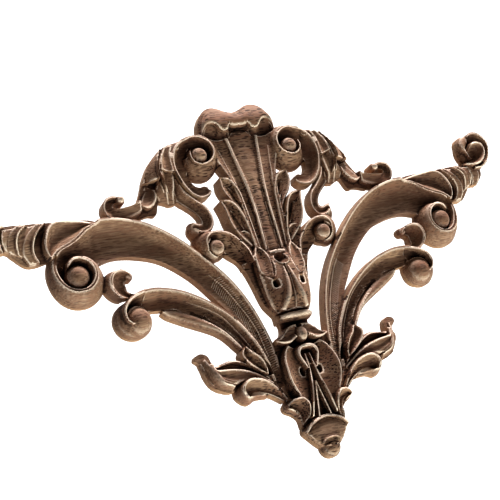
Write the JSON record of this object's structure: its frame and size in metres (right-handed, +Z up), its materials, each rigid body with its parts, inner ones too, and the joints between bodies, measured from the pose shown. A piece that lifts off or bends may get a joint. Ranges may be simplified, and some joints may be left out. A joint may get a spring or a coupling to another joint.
{
  "type": "carved applique",
  "caption": "Carved wood openwork applique with a fluted plume, a bud, scrolled arches and leaves, flat at the back, to fix on furniture, doors or walls.",
  "frame": {"origin": "on the flat back face, on the axis of symmetry, behind the bud", "axes": "+X to the right as seen from the front, +Z up, +Y out of the flat back; the carved front faces -Y"},
  "size_m": [0.1942, 0.0106, 0.1206],
  "materials": {
    "raw_wood": "raw, unsealed, fine sanded"
  },
  "bodies": {
    "root": {"applique": "raw_wood"}
  },
  "joints": []
}
